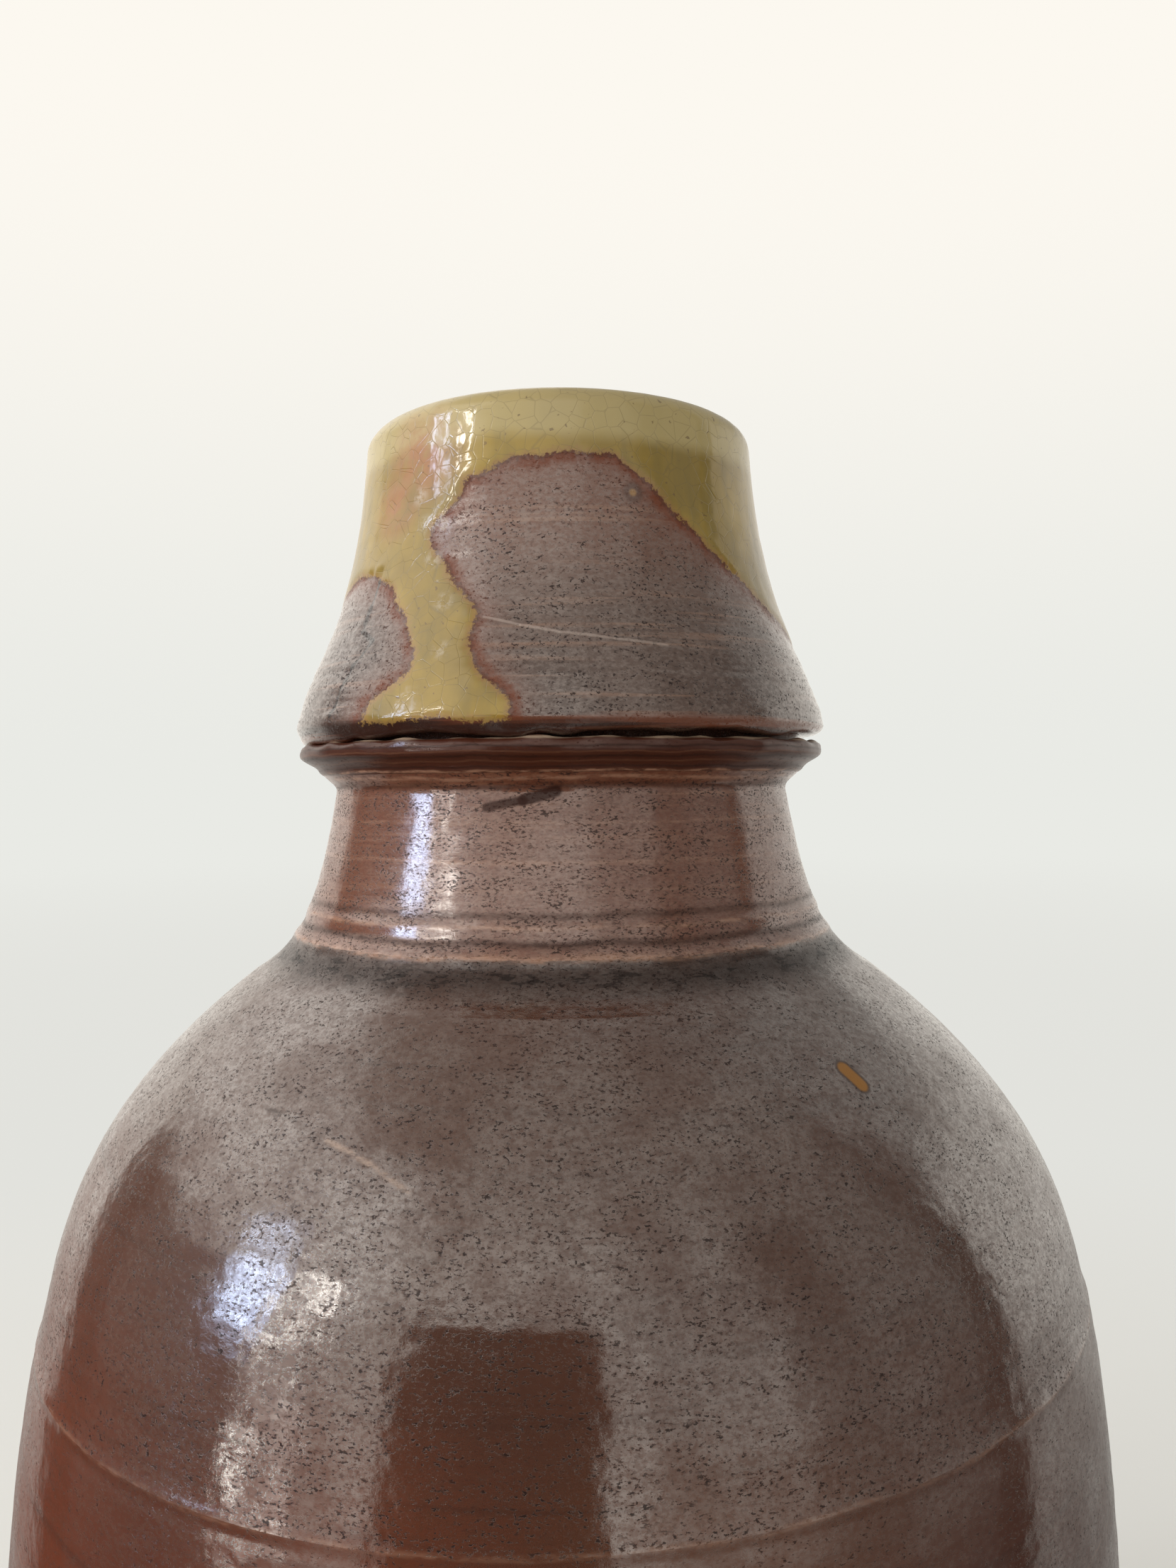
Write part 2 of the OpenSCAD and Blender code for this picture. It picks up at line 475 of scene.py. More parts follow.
def makeBase():
    foot, plug = wall["foot"], wall["plug"]
    recess, depth = baseDisc["recess"], baseDisc["recessDepth"]
    inner, outer = recess - baseDisc["recessEdge"], foot[0] - baseDisc["footEdge"]
    side = cut(outerFace, foot[1], baseTop)
    outline = join(line((0.0, depth), (inner, depth), 70),
                   bend((inner, depth), (recess - 0.6, depth), (recess - 0.4, 0.0), (recess, 0.0), 6),
                   line((recess, 0.0), (outer, 0.0), 10),
                   bend((outer, 0.0), (foot[0] - 0.5, 0.0), (foot[0] - 0.1, 0.5), foot, 7),
                   side, line((side[-1].x, baseTop), (plug, baseTop), 4),
                   line((plug, floorTop), (0.0, floorTop), 30))
    weights = [1.0 if p.z < baseTop + 0.01 and p.x > foot[0] - 0.5 else 0.0 for p in outline]
    return spinSection("baseDisc", outline, weights, baseRelief)


# the three sections of the wall
paleLine = tone(168, 126, 102)
darkLine = tone(44, 24, 18)
# pale line of the shoulder scratch: partly a chip in the glaze, partly a painted highlight along it
chipAndHighlightLine = tone(184, 160, 144)
amber = tone(156, 108, 50)
amberRim = tone(48, 27, 20)
dripTone = tone(52, 24, 15)

# each look's lists hold, in order
# blushes: centre, inner and outer radius of the fade, tone, strength
# rings: height, half width, strength, lean, tone
# scratches: start, end, half width, tone, strength
bodyLook = {
    # high is the paler upper tone: partly the glaze's own, partly painted light on the shoulder top
    "deep": tone(70, 33, 21), "warm": tone(90, 44, 27), "high": tone(80, 53, 41), "shift": (3, 11, 0),
    "streaks": 0.4, "streakScale": 0.9, "streakTone": tone(52, 29, 22),
    "mottle": 1.5, "haze": 0.3, "hazeTone": tone(96, 60, 42),
    "sheen": 1.0, "sheenLeast": 0.12, "cloudLeast": 0.58, "mottleLeast": 0.60, "fineLeast": 0.66,
    "coatIor": 2.9, "coatRough": 0.07, "gloss": 0.35,
    "pits": 0.75, "pitTone": tone(36, 21, 17), "pitFrom": 0.59, "bump": 0.4, "peel": 2.0,
    "blushes": [(onWall(-62, 56, 80), 6.0, 46.0, tone(112, 50, 26), 0.85),
                (onWall(12, 54, 90), 4.0, 22.0, tone(112, 66, 34), 0.4),
                (onWall(-16, 53, 92), 3.0, 20.0, tone(118, 56, 28), 0.5),
                (onWall(150, 56, 60), 10.0, 40.0, tone(116, 56, 34), 0.6)],
    "rings": [(seamHeight, 0.34, 0.3, seamLean, paleLine), (100.3, 0.3, 0.12, 0.03, paleLine),
              (84.0, 0.3, 0.2, 0.01, paleLine)],
    "scratches": [],
}

shoulderLook = {
    **bodyLook, "cloudLeast": 0.52, "mottleLeast": 0.55, "fineLeast": 0.6, "pits": 0.9, "pitFrom": 0.56,
    "rings": [(seamHeight, 0.34, 0.3, seamLean, paleLine), (131.7, 2.5, 0.95, 0.0, tone(24, 13, 10)),
              (rootHeight, 0.45, 0.7, 0.0, paleLine)],
    "scratches": [(onFace(outerFace, -36, 122.2), onFace(outerFace, -31, 121.7), 0.07, darkLine, 0.7),
                  (onFace(outerFace, -31, 121.7), onFace(outerFace, -26, 121.0), 0.07, darkLine, 0.7),
                  # the pale part of this scratch is partly a painted highlight
                  (onFace(outerFace, -25, 120.8), onFace(outerFace, -19, 119.8), 0.05, chipAndHighlightLine, 0.6),
                  (onFace(outerFace, -19, 119.8), onFace(outerFace, -14, 118.4), 0.05, chipAndHighlightLine, 0.5),
                  (onFace(outerFace, 38.8, 124.2), onFace(outerFace, 39.7, 123.0), 0.75, amberRim, 0.8),
                  (onFace(outerFace, 38.8, 124.2), onFace(outerFace, 39.7, 123.0), 0.5, amber, 0.95)],
}

neckLook = {
    **bodyLook, "deep": tone(98, 53, 37), "warm": tone(124, 72, 52), "high": tone(104, 60, 43),
    "shift": (9, 2, 0),
    "streaks": 0.75, "streakScale": 1.7, "streakTone": tone(142, 98, 76),
    "mottle": 2.0, "haze": 0.45, "hazeTone": tone(134, 92, 70),
    "sheen": 0.75, "sheenLeast": 0.2, "cloudLeast": 0.65, "mottleLeast": 0.65, "fineLeast": 0.75,
    "coatRough": 0.06, "pits": 0.9, "pitTone": tone(50, 33, 27), "pitFrom": 0.53, "bump": 0.3, "peel": 0.6,
    "blushes": [],
    "rings": [(rootHeight, 0.5, 0.75, 0.0, paleLine), (134.4, 0.6, 0.8, 0.0, darkLine),
              (135.7, 0.35, 0.6, 0.0, paleLine), (136.7, 0.6, 0.65, 0.0, darkLine),
              (138.8, 0.3, 0.2, 0.0, paleLine), (141.4, 0.3, 0.3, 0.0, paleLine),
              (143.2, 0.25, 0.2, 0.0, paleLine), (144.9, 0.3, 0.3, 0.0, paleLine),
              (148.2, 0.5, 0.6, 0.0, darkLine), (148.9, 0.3, 0.7, 0.0, paleLine)],
    "scratches": [(onFace(outerFace, -15, 146.3), onFace(outerFace, -7, 146.9), 0.25, dripTone, 0.9),
                  (onFace(outerFace, -7, 146.9), onFace(outerFace, 0, 147.7), 0.35, dripTone, 0.95)],
}


def wallRelief(shape, skin):
    for v in shape.verts:
        angle, height, radius = place(v)
        if v[skin] > 0.01:
            lines = sum(rise * ridge(height, centre, width) for centre, rise, width in wall["ridges"])
            pushOut(v, angle, v[skin] * (thrownRelief(angle, height) + lines))
        v.co.z += seamSway(angle, height) * mm


def spinWall(name, outer, hidden):
    outline = outer + hidden
    return spinSection(name, outline, shownPart(outline, len(outer)), wallRelief)


def tongueFaces():  # the two sides of the seam's tongue, inner first, going up
    return [line((radius, seamHeight), (radius, tongueTop), 3) for radius in wall["tongue"]]


def makeLowerWall():
    inner = cut(insideFace, floorTop + 1.0, seamHeight)
    tongueIn, tongueOut = tongueFaces()
    hidden = join(tongueOut, list(reversed(tongueIn)), backwards(inner, 4),
                  line((wall["plug"], floorTop), (wall["plug"], baseTop), 3))
    return spinWall("lowerWall", cut(outerFace, baseTop, seamHeight), hidden)


def makeShoulder():
    inner = cut(insideFace, seamHeight, tenonTop)
    tongueIn, tongueOut = tongueFaces()
    hidden = join(line((wall["tenon"], rootHeight), (wall["tenon"], tenonTop), 3), backwards(inner, 4),
                  tongueIn, list(reversed(tongueOut)))
    return spinWall("shoulderWall", cut(outerFace, seamHeight, rootHeight), hidden)


def makeNeck():
    waist = wall["waist"]
    under = bend(waist, pull(waist, (-0.1, 0.9)), (24.4, lipLow - 1.0), (lipRing["under"], lipLow), 14)
    outer = join(cut(outerFace, rootHeight, waist[1]), under)
    inner = cut(insideFace, tenonTop, waist[1] - 2.5)
    hidden = join(line((wall["tube"], lipLow), (wall["tube"], tubeTop), 6),
                  line((wall["neckBore"], tubeTop), (wall["neckBore"], waist[1] - 1.5), 12),
                  backwards(inner, 2), line((wall["tenon"], tenonTop), (wall["tenon"], rootHeight), 3))
    return spinWall("neckWall", outer, hidden)


# lip ring, up to the dark crevice under the collar
lipRing = {
    "under": 25.4, "widest": (27.8, lipLow + 2.3), "crown": 27.0, "seat": 25.2,
    "ridges": [(149.6, 0.13, 0.25), (150.3, -0.16, 0.35), (151.1, 0.10, 0.3)],  # height, rise, width
    "lines": 0.1, "torn": 0.30, "beads": 0.34,  # relief of the wall, its upper edge and the glaze on top
}

bandLine = tone(116, 78, 58)
# the lip ring's tones are darker than the body's: partly its own dark glaze, partly painted shade under the
# collar
lipLook = {
    **bodyLook, "deep": tone(56, 27, 18), "warm": tone(76, 38, 25), "high": tone(70, 34, 22), "haze": 0.1,
    "streaks": 0.6, "streakTone": tone(88, 48, 32), "sheen": 0.2, "sheenLeast": 0.08,
    "pits": 0.4, "peel": 0.5, "blushes": [],
    "rings": [(149.5, 0.22, 0.8, 0.0, paleLine), (152.5, 0.22, 1.0, 0.0, tone(176, 154, 132)),
              (149.9, 0.16, 0.7, 0.0, darkLine), (150.4, 0.14, 0.5, 0.0, bandLine),
              (150.8, 0.2, 0.8, 0.0, darkLine), (151.2, 0.14, 0.5, 0.0, bandLine),
              (151.7, 0.2, 0.8, 0.0, darkLine)],
}


def lipRelief(shape, skin):
    for v in shape.verts:
        angle, height, radius = place(v)
        if v[skin] < 0.01:
            continue
        lines = sum(rise * ridge(height, centre, width) for centre, rise, width in lipRing["ridges"])
        torn = lipRing["torn"] * swirl(angle, height, 8.0, 0.6) * ridge(height, lipTop, 0.8)
        pushOut(v, angle, v[skin] * (thrownRelief(angle, height, lipRing["lines"]) + lines + torn))
        if height > lipTop - 0.5 and radius > 25.6:
            bead = max(swirl(angle, 0.0, 9.0, 1.0) + 0.2, 0.0) * ease(radius, 26.2, 27.2)
            v.co.z += lipRing["beads"] * bead * mm


def makeLipRing():
    widest, crown, tube = lipRing["widest"], lipRing["crown"], wall["tube"]
    outer = join(bend((lipRing["under"], lipLow), (26.3, lipLow + 0.9), (27.7, lipLow + 1.4), widest, 26),
                 bend(widest, (27.75, lipTop - 0.3), (27.5, lipTop), (crown, lipTop), 10),
                 line((crown, lipTop), (lipRing["seat"], lipTop), 8))
    hidden = join(line((tube + 0.5, lipTop), (tube, lipTop)), line((tube, lipLow + 1), (tube, lipLow)))
    outline = join(outer, hidden)
    return spinSection("lipRing", outline, shownPart(outline, len(outline) - 3), lipRelief)


# mouth collar: ash glaze over purple-brown slip, with bare patches where the slip shows
collar = {
    "gap": 0.8, "bore": 15.5, "rimOuter": 20.45, "rimRise": 2.4,
    "foot": 28.1, "footRise": 1.0, "seat": 25.6,  # the rolled edge at the foot: radius, rise, inner radius
    "round": 23.0,  # mean radius, for distances round it
    "ashLow": 154.0, "ashThickness": 0.16, "ashBead": 0.07, "closing": 0.78,
    # corners of each bare patch, as degrees from the front and height
    "bare": [
        [(-23, 177.1), (-16, 177.8), (-9, 178.3), (0, 178.9), (8, 178.8), (15, 178.6), (20, 177.3),
         (25, 176.0), (30, 174.2), (35, 172.4), (42, 170.4), (47, 169.0), (54, 167.0), (63, 165.0),
         (80, 162.8), (96, 161.2), (106, 158.5), (112, 155.0), (114, 148.0), (-8, 148.0), (-8, 155.4),
         (-12, 157.3), (-15, 158.6), (-17, 160.7), (-17, 163.5), (-19, 164.7), (-22, 166.7),
         (-27, 168.8), (-32, 171.0), (-33, 172.6), (-25, 174.8)],
        [(-110, 148.0), (-104, 156.5), (-97, 161.5), (-88, 165.5), (-76, 168.0), (-62, 169.2), (-51, 168.8),
         (-43, 167.3), (-36, 164.8), (-32, 162.3), (-29, 160.1), (-29, 158.2), (-35, 157.2), (-39, 156.0),
         (-41, 148.0)],
        [(130, 148.0), (127, 156.0), (131, 163.0), (140, 169.5), (152, 173.8), (166, 175.4), (180, 174.0),
         (194, 170.8), (205, 166.0), (212, 160.0), (216, 155.5), (218, 148.0)],
    ],
    "crackTurn": -48,  # the crack on the left patch, as a groove and as the stain along it
    "crack": [(-48, 169.2), (-50, 166.5), (-47, 164.6), (-50, 163.0), (-44, 161.9), (-46, 160.6),
              (-48, 159.0), (-50, 155.5)],
    "crackStain": [(-48, 168.0), (-49, 163.2), (-43, 161.9), (-47, 159.6), (-50, 155.0)],
    "paleScratch": [(-15, 163.4), (-7, 162.5), (1, 161.8), (12, 161.2), (23, 160.7)],
    "milkySpots": [(-29, 172.7, 0.5), (-37, 175.8, 0.4), (-34, 172.9, 0.35), (-30, 169.3, 0.35),
                   (-25, 165.0, 0.4), (-23, 160.4, 0.3)],  # degrees, height, radius
    "eye": (20, 175.3),  # amber bubble with a dark ring
    "blushes": [(onWall(-38, 20.8, 179.5), 1.0, 6.5), (onWall(-46, 21.2, 175.5), 0.5, 5.0)],
}

collarLow = lipTop + collar["gap"]
rimHeight = collarTop - collar["rimRise"]
collarFoot = (collar["foot"], collarLow + collar["footRise"])
collarSide = bend(collarFoot, (26.65, collarLow + 8.3), (21.7, rimHeight - 18.6),
                  (collar["rimOuter"], rimHeight), 96)


def slipSide(tree, co, edge):  # colour, pinholes, mottle and rust of the bare patches
    z = along(tree, co, "Z")
    slow = grain(tree, co, 0.05, 3.0, 0.5, shift=(2, 5, 0))
    colour = blend(tree, spread(tree, slow, 0.35, 0.62), tone(102, 78, 68), tone(74, 52, 43))
    upper = spread(tree, maths(tree, "MULTIPLY_ADD", slow, 8.0, z), 167.0, 177.0, 0.0, 0.75)
    colour = blend(tree, upper, colour, tone(116, 72, 54))
    mottle = grain(tree, co, 1.7, 5.0, 0.7, (1, 1, 1.6))
    colour = blend(tree, spread(tree, mottle, 0.42, 0.66, 0.0, 0.5), colour, tone(122, 100, 90))
    streaks = grain(tree, co, 1.0, 3.0, 0.6, (0.03, 0.03, 1.1), (0, 0, 4))
    colour = blend(tree, spread(tree, streaks, 0.54, 0.70, 0.0, 0.55), colour, tone(144, 108, 88))
    pits = pinholes(tree, co, 3.0, (1, 1, 1.4), 0.56, 0.605)
    colour = blend(tree, times(tree, pits, 0.9), colour, tone(40, 28, 26))

    # rust along the edge of the ash, and the rolled band at the foot
    uneven = spread(tree, grain(tree, co, 0.35, 3.0, 0.6, shift=(5, 5, 1)), 0.38, 0.6, 0.25)
    rust = times(tree, spread(tree, edge, -1.6, -0.3), uneven)
    colour = blend(tree, spread(tree, edge, -4.0, -0.5, 0.0, 0.45), colour, tone(112, 66, 48))
    colour = blend(tree, times(tree, rust, 0.9), colour, tone(112, 58, 36))
    colour = blend(tree, times(tree, spread(tree, edge, -0.45, -0.2), 0.6), colour, tone(74, 40, 28))
    foot = fadeOut(tree, total(tree, (z, 1.0), (slow, 1.5)), 154.6, 155.6)
    rolled = blend(tree, spread(tree, streaks, 0.45, 0.62), tone(46, 23, 16), tone(112, 60, 38))
    colour = blend(tree, times(tree, foot, 0.9), colour, rolled)
    for start, end in zip(collar["paleScratch"], collar["paleScratch"][1:]):
        mark = scratch(tree, co, onFace(collarSide, *start), onFace(collarSide, *end), 0.06, 0.15)
        colour = blend(tree, times(tree, mark, 0.35), colour, tone(196, 176, 164))
    return colour, pits, mottle, rust


def ashSide(tree, co, edge):  # yellow-green, paler at the rim, amber where it is thin
    drift = grain(tree, co, 0.09, 4.0, 0.6, shift=(7, 1, 0))
    colour = blend(tree, spread(tree, drift, 0.35, 0.65), tone(160, 132, 50), tone(137, 113, 47))
    falls = grain(tree, co, 1.0, 3.0, 0.5, (0.5, 0.5, 0.05))
    colour = blend(tree, spread(tree, falls, 0.45, 0.7, 0.0, 0.4), colour, tone(114, 100, 56))
    rim = spread(tree, total(tree, (along(tree, co, "Z"), 1.0), (drift, 2.0)), 180.6, 182.4)
    colour = blend(tree, times(tree, rim, 0.75), colour, tone(186, 168, 118))
    blush = maths(tree, "MAXIMUM", *[spot(tree, co, *patch) for patch in collar["blushes"]])
    blush = times(tree, blush, spread(tree, grain(tree, co, 0.45, 4.0, 0.6), 0.3, 0.6, 0.3), 0.75)
    colour = blend(tree, blush, colour, tone(160, 98, 58))
    colour = blend(tree, times(tree, fadeOut(tree, edge, 0.0, 0.7), 0.6), colour, tone(150, 108, 60))
    cells = add(tree, "ShaderNodeTexVoronoi", {"Vector": co, "Scale": 0.62, "Randomness": 1.0},
                "Distance", feature="DISTANCE_TO_EDGE")
    crackle = fadeOut(tree, cells, 0.0, 0.035)
    colour = blend(tree, times(tree, crackle, 0.3), colour, tone(104, 90, 56))
    specks = spread(tree, grain(tree, co, 1.6, 2.0, 0.5, shift=(3, 3, 9)), 0.69, 0.73)
    return blend(tree, times(tree, specks, 0.6), colour, tone(96, 70, 44)), crackle


def collarMarks(tree, co, colour):  # the eye, milky spots and the crack's stain
    eye = onFace(collarSide, *collar["eye"])
    colour = blend(tree, times(tree, spot(tree, co, eye, 0.7, 1.3), 0.9), colour, tone(84, 48, 31))
    colour = blend(tree, times(tree, spot(tree, co, eye, 0.2, 0.5), 0.85), colour, tone(158, 118, 68))
    torn = spread(tree, grain(tree, co, 0.9, 5.0, 0.75), 0.44, 0.58)
    for turn, height, size in collar["milkySpots"]:
        milky = spot(tree, co, onFace(collarSide, turn, height), size * 0.3, size + 1.0)
        colour = blend(tree, times(tree, milky, 0.4, torn), colour, tone(206, 196, 182))
    for start, end in zip(collar["crackStain"], collar["crackStain"][1:]):
        mark = scratch(tree, co, onFace(collarSide, *start), onFace(collarSide, *end), 0.16, 0.3)
        colour = blend(tree, times(tree, mark, 0.85), colour, tone(34, 21, 17))
    return colour


def ashGlaze(name):  # the ash and the slip part along the piece's own edge distance
    glaze, shader = startGlaze(name)
    tree = glaze.node_tree
    co = clayPlace(tree)
    ragged = maths(tree, "SUBTRACT", grain(tree, co, 2.2, 5.0, 0.75), 0.5)
    edge = add(tree, "ShaderNodeAttribute", {}, "Fac", attribute_name="ashEdge")
    edge = total(tree, (edge, 1.0), (ragged, 1.8))
    ashMask = spread(tree, edge, -0.12, 0.12)
    slipTone, pits, mottle, rust = slipSide(tree, co, edge)
    ashTone, crackle = ashSide(tree, co, edge)
    colour = collarMarks(tree, co, blend(tree, ashMask, slipTone, ashTone))
    openPits = times(tree, pits, without(tree, ashMask))
    slipHeight = total(tree, (mottle, 0.6), (pits, -0.6))
    ashHeight = total(tree, (grain(tree, co, 0.5, 2.0, 0.5), 0.8), (crackle, -0.25))
    normal = bumpFrom(tree, between(tree, ashMask, slipHeight, ashHeight), 0.3, 0.00012)
    shine = times(tree, spread(tree, mottle, 0.38, 0.60, 0.65), without(tree, pits, 0.85),
                  without(tree, rust, 0.75))
    wire(tree, shader, {"Base Color": colour, "Normal": normal, "Coat Normal": normal,
                        "Roughness": maths(tree, "MULTIPLY_ADD", openPits, 0.2, 0.35),
                        "Coat Weight": between(tree, ashMask, shine, 0.5)})
    setGloss(shader, 2.2, 0.06)
    return glaze


def unroll(turn, middle):  # mm round the collar from a middle angle, both in degrees
    return ((turn - middle + 180) % 360 - 180) * pi / 180 * collar["round"]


def flatten(corners, middle):
    return [(unroll(turn, middle), height) for turn, height in corners]


def toSegment(px, py, a, b):
    dx, dy = b[0] - a[0], b[1] - a[1]
    t = ((px - a[0]) * dx + (py - a[1]) * dy) / (dx * dx + dy * dy)
    t = min(max(t, 0.0), 1.0)
    return hypot(px - a[0] - t * dx, py - a[1] - t * dy)


def depthInside(px, py, corners):  # distance to the outline, positive inside
    nearest, inside = 99.0, False
    for a, b in zip(corners, corners[1:] + corners[:1]):
        nearest = min(nearest, toSegment(px, py, a, b))
        if (a[1] > py) != (b[1] > py) and px < (b[0] - a[0]) * (py - a[1]) / (b[1] - a[1]) + a[0]:
            inside = not inside
    return nearest if inside else -nearest


barePatches = []
for corners in collar["bare"]:
    middle = sum(turn for turn, height in corners) / len(corners)
    barePatches.append((middle, flatten(corners, middle)))
crackLine = flatten(collar["crack"], collar["crackTurn"])


def ashDistance(angle, height):  # mm inside the ash, negative on a bare patch
    turn = angle * 180 / pi
    height += 0.55 * swirl(angle, height, 8.0, 0.35, 3.0)
    turn += 1.6 * swirl(angle, height, 8.0, 0.35, 7.0)
    bare = collar["ashLow"] - height
    for middle, corners in barePatches:
        bare = max(bare, depthInside(unroll(turn, middle), height, corners))
    return min(max(-bare, -6.0), 6.0)


def crackDepth(angle, height):  # a groove with a slightly raised edge
    across = unroll(angle * 180 / pi, collar["crackTurn"])
    if abs(across) >= 4 or not 154 < height < 170:
        return 0.0
    warped = across + 0.25 * swirl(angle, height, 30.0, 1.2)
    split = min(toSegment(warped, height, a, b) for a, b in zip(crackLine, crackLine[1:]))
    return 0.22 * exp(-(split / 0.22) ** 2) - 0.10 * exp(-((split - 0.5) / 0.25) ** 2)


def closedShare(angle):  # how far glaze closes the crevice under the collar, 0 open to 1 closed
    rough = 0.45 + 1.0 * swirl(angle, 0.0, 3.2, 1.0) + 0.35 * swirl(angle, 3.0, 11.0, 1.0)
    openSide = ease(angle, 0.75, 1.15) * (1 - ease(angle, 2.2, 2.6))
    merged = 1 - ease(angle, -1.25, -0.75) + ease(angle, 2.9, 3.1)
    return min(max(rough * (1 - openSide) + 0.7 * merged, 0.0), 1.0)


def collarRelief(shape, skin):
    ashEdge = shape.verts.layers.float.new("ashEdge")
    for v in shape.verts:
        angle, height, radius = place(v)
        if v[skin] < 0.01:
            v[ashEdge] = ease(height, 168.0, 172.0) * 4 - 2 + 1.2 * swirl(angle, height, 2.0, 0.3)
            continue
        away = ashDistance(angle, height)
        if radius < collar["bore"] + 1 and height < collarTop - 1.5:
            away = height - 171.0 + 3.0 * swirl(angle, height, 2.0, 0.1)
        v[ashEdge] = away
        coat = collar["ashThickness"] * ease(away, -0.3, 1.3) + collar["ashBead"] * ridge(away, 0.5, 0.5)
        coat -= crackDepth(angle, height)
        if radius > 20 or height > 183:
            lines = 0.07 - 0.05 * ease(away, -0.2, 1.0)
            pushOut(v, angle, thrownRelief(angle, height, lines) + coat * ease(height, 153.3, 154.5))
        if height < collarLow + 0.6 and radius > 25.5:
            drop = (1 - ease(height, collarLow, collarLow + 0.6)) * ease(radius, 25.5, 26.2)
            v.co.z -= collar["closing"] * closedShare(angle) * drop * mm


def makeCollar():
    low, bore, tube = collarLow, collar["bore"], wall["tube"]
    rimMiddle, rimHalf = (bore + collar["rimOuter"]) / 2, (collar["rimOuter"] - bore) / 2
    rim = [point(rimMiddle + rimHalf * cos(radians(a)), rimHeight + collar["rimRise"] * sin(radians(a)))
           for a in range(6, 178, 6)]
    rolled = bend((collar["seat"], low - 0.05), (27.0, low - 0.1), (27.9, low + 0.1), collarFoot, 14)
    outer = join(rolled, collarSide, rim)
    inside = line((bore, rimHeight - 0.2), (bore, rimHeight - 12), 26)
    throat = bend((bore, rimHeight - 12), (bore, rimHeight - 17), (wall["neckBore"], rimHeight - 19),
                  (wall["neckBore"], tubeTop), 30)
    hidden = join(throat, line((tube, tubeTop), (tube, lipTop), 3), line((25.3, lipTop), (25.45, low - 0.3)))
    outline = join(outer, inside, hidden)
    return spinSection("mouthCollar", outline, shownPart(outline, len(outer) + len(inside) - 1), collarRelief)


def build():
    finishPiece(makeBase(), "base_disc", baseClay("baseClay"))
    finishPiece(makeLowerWall(), "lower_wall", ironSlip("bodySlip", bodyLook))
    finishPiece(makeShoulder(), "shoulder", ironSlip("shoulderSlip", shoulderLook))
    finishPiece(makeNeck(), "neck", ironSlip("neckSlip", neckLook))
    finishPiece(makeLipRing(), "lip_ring", ironSlip("lipSlip", lipLook))
    finishPiece(makeCollar(), "mouth_collar", ashGlaze("ashGlaze"))


build()
print("bottle built")

# the stage, in metres: a pale floor and room, one soft box and the camera
backdrop = {"horizon": tone(233, 234, 229), "sky": tone(252, 248, 240), "near": tone(226, 226, 221)}


def link(name, data):
    thing = bpy.data.objects.new(name, data)
    bpy.context.scene.collection.objects.link(thing)
    return thing


def makeFloor():  # fades into the backdrop
    shape = bmesh.new()
    bmesh.ops.create_circle(shape, cap_ends=True, segments=96, radius=6.0)
    mesh = bpy.data.meshes.new("floor")
    shape.to_mesh(mesh)
    shape.free()
    floor = link("floor", mesh)
    paint, shader = startGlaze("floorPaper")
    tree = paint.node_tree
    shader.inputs["Base Color"].default_value = (0.86, 0.86, 0.84, 1.0)
    shader.inputs["Roughness"].default_value = 0.9
    away = vectorMaths(tree, "LENGTH", {0: clayPlace(tree)}, "Value")
    wash = blend(tree, spread(tree, away, 300.0, 2500.0), backdrop["near"], backdrop["horizon"])
    glow = add(tree, "ShaderNodeEmission", {"Color": wash, "Strength": 1.0})
    far = spread(tree, away, 90.0, 420.0)
    mixed = add(tree, "ShaderNodeMixShader", {0: far, 1: shader.outputs[0], 2: glow})
    tree.links.new(mixed, tree.nodes["Material Output"].inputs["Surface"])
    mesh.materials.append(paint)
    floor.visible_glossy = False  # the room's own colours lie below the bottle in its gloss


# the room's light by direction: the turn goes from 0 behind by the left, front and right to 1 behind
room = {
    # degrees from the front and brightness
    "levels": [(-180, 1.15), (-124, 1.15), (-122, 0.06), (-110, 0.06), (-106, 0.20), (-60, 0.20),
               (-46, 0.80), (-10, 0.88), (12, 0.82), (18, 0.50), (28, 0.50), (42, 0.54), (50, 0.24),
               (62, 0.22), (66, 0.30), (88, 0.26), (91, 0.06), (98, 0.06), (100, 0.92), (180, 1.15)],
    "warmth": (1.0, 0.96, 0.88), "overhead": (0.45, 0.43, 0.39, 1.0),
    "curtain": (1.34, 1.29, 1.2, 1.0), "shade": (0.34, 0.34, 0.32, 1.0),
    "coolPane": (0.60, 0.72, 1.0, 1.0), "warmPane": (1.0, 0.94, 0.86, 1.0),
}


def panel(tree, turn, rise, left, right, bottom, top):  # an oblong: each soft edge is a start and an end
    return times(tree, spread(tree, turn, *left), fadeOut(tree, turn, *right),
                 spread(tree, rise, *bottom), fadeOut(tree, rise, *top))


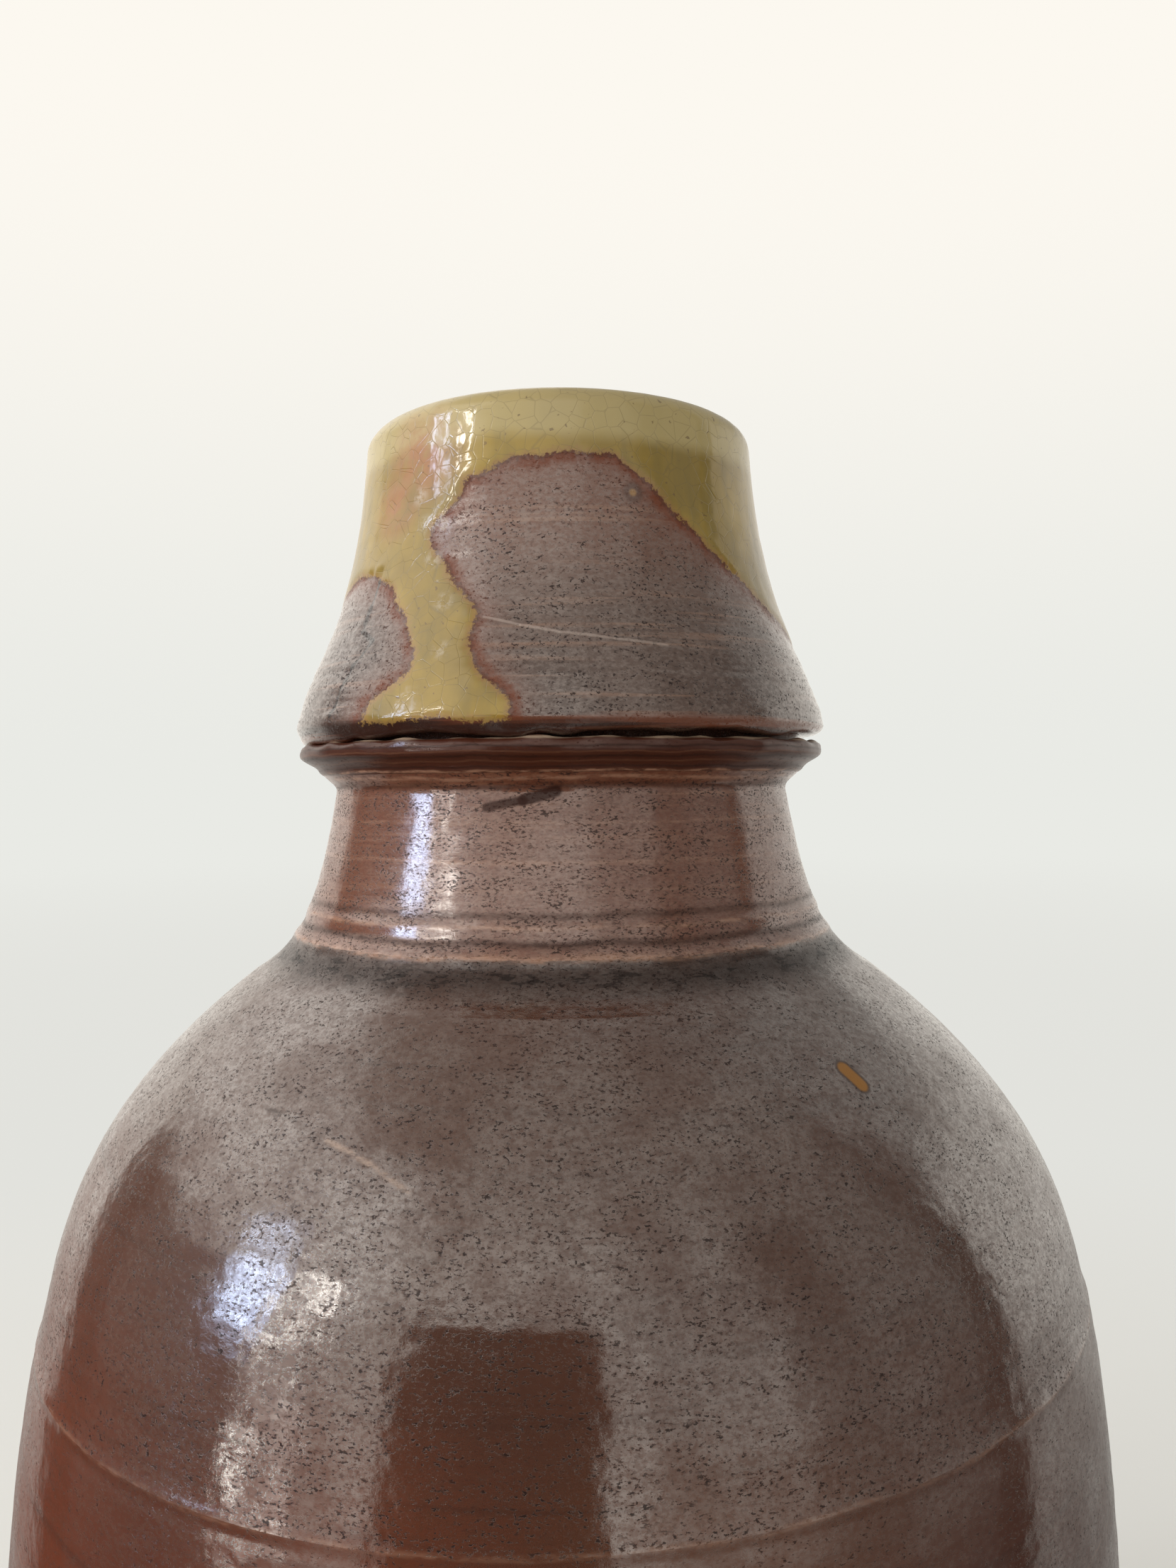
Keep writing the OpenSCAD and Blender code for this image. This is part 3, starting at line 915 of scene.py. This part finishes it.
def roomColour(tree, way, turn, rise):
    ramp = tree.nodes.new("ShaderNodeValToRGB")
    tree.links.new(turn, ramp.inputs[0])
    elements = ramp.color_ramp.elements
    while len(elements) < len(room["levels"]):
        elements.new(0.5)
    for element, (azimuth, level) in zip(elements, room["levels"]):
        element.position = (azimuth + 180) / 360
        element.color = (*[level * share for share in room["warmth"]], 1.0)
    light = blend(tree, 1.0, ramp.outputs[0], spread(tree, rise, -0.5, -0.02, 0.32), "MULTIPLY")
    light = blend(tree, spread(tree, rise, 0.60, 0.92), light, room["overhead"])
    curtain = panel(tree, turn, rise, (0.06, 0.09), (0.36, 0.40), (0.24, 0.42), (0.72, 0.88))
    light = blend(tree, curtain, light, room["curtain"])
    shade = times(tree, spread(tree, turn, 0.74, 0.78), spread(tree, rise, 0.28, 0.5, 0.0, 0.8))
    light = blend(tree, shade, light, room["shade"])

    # a window on the left with leaves before it
    leaves = spread(tree, grain(tree, way, 14.0, 5.0, 0.7), 0.56, 0.61)
    sparks = spread(tree, grain(tree, way, 24.0, 4.0, 0.7), 0.47, 0.55)
    cool = panel(tree, turn, rise, (0.283, 0.287), (0.314, 0.319), (0.10, 0.18), (0.30, 0.58))
    warm = panel(tree, turn, rise, (0.318, 0.324), (0.356, 0.361), (-0.26, -0.20), (0.44, 0.50))
    cool = times(tree, cool, maths(tree, "MULTIPLY_ADD", sparks, 12.0, 0.3))
    warm = times(tree, warm, maths(tree, "MULTIPLY_ADD", leaves, 18.0, 0.2))
    light = blend(tree, cool, light, room["coolPane"], "ADD")
    return blend(tree, warm, light, room["warmPane"], "ADD")


def makeRoomLight():  # a pale room, dimmer on the side the camera stands
    world = bpy.data.worlds.new("room")
    bpy.context.scene.world = world
    world.use_nodes = True
    tree = world.node_tree
    way = add(tree, "ShaderNodeTexCoord", {}, "Generated")  # in a world this is the direction
    x, y, rise = [along(tree, way, axis) for axis in "XYZ"]
    turn = maths(tree, "ARCTAN2", x, times(tree, y, -1.0))
    turn = maths(tree, "MULTIPLY_ADD", turn, 0.5 / pi, 0.5)
    light = roomColour(tree, way, turn, rise)
    plain = blend(tree, spread(tree, rise, 0.0, 0.5), backdrop["horizon"], backdrop["sky"])
    seen = add(tree, "ShaderNodeLightPath", {}, "Is Camera Ray")
    shown = add(tree, "ShaderNodeBackground", {"Color": plain, "Strength": 1.0})
    lit = add(tree, "ShaderNodeBackground", {"Color": light, "Strength": 1.0})
    mixed = add(tree, "ShaderNodeMixShader", {0: seen, 1: lit, 2: shown})
    tree.links.new(mixed, tree.nodes["World Output"].inputs["Surface"])


softBox = {
    "azimuth": -85, "distance": 1.5, "height": 0.55, "size": 0.9, "power": 14.0,
    "colour": (1.0, 0.98, 0.95), "aim": (0, 0, 0.14),
}


def addSoftBox():
    lamp = bpy.data.lights.new("leftSoftBox", "AREA")
    lamp.shape = "RECTANGLE"
    lamp.size = lamp.size_y = softBox["size"]
    lamp.energy = softBox["power"]
    lamp.color = softBox["colour"]
    box = link("leftSoftBox", lamp)
    box.location = onWall(softBox["azimuth"], softBox["distance"], softBox["height"])
    aim = Vector(softBox["aim"]) - box.location
    box.rotation_euler = aim.to_track_quat("-Z", "Y").to_euler()
    box.visible_glossy = False


lensFlag = {"centre": (-0.027, -0.134, 0.084), "width": 0.082, "height": 0.150, "corner": 0.13}


def addLensFlag():  # dark card round the lens, seen only in the glaze
    shape = bmesh.new()
    bmesh.ops.create_grid(shape, x_segments=1, y_segments=1, size=0.5)
    bmesh.ops.bevel(shape, geom=list(shape.verts), offset=lensFlag["corner"], segments=8, profile=0.5,
                    affect="VERTICES", material=-1)
    x, y, z = lensFlag["centre"]
    for v in shape.verts:
        v.co = Vector((x + v.co.x * lensFlag["width"], y, z + v.co.y * lensFlag["height"]))
    mesh = bpy.data.meshes.new("lensFlag")
    shape.to_mesh(mesh)
    shape.free()
    flag = link("lensFlag", mesh)
    felt, shader = startGlaze("flagFelt")
    shader.inputs["Base Color"].default_value = (0.01, 0.01, 0.011, 1.0)
    shader.inputs["Roughness"].default_value = 0.8
    mesh.materials.append(felt)
    flag.visible_camera = False
    flag.visible_diffuse = False
    flag.visible_shadow = False


view = {"lens": 27.5, "sensor": 36.0, "near": 0.005, "place": (0.00285, -0.131, 0.1483), "roll": 0.55}


def addCamera():  # level, at the height of the neck
    lens = bpy.data.cameras.new("camera")
    lens.lens = view["lens"]
    lens.sensor_width = view["sensor"]
    lens.clip_start = view["near"]
    camera = link("camera", lens)
    camera.location = view["place"]
    camera.rotation_euler = (pi / 2, radians(view["roll"]), 0.0)
    bpy.context.scene.camera = camera
    bpy.context.scene.view_settings.view_transform = "Standard"


makeFloor()
makeRoomLight()
addSoftBox()
addLensFlag()
addCamera()
print("stage set")
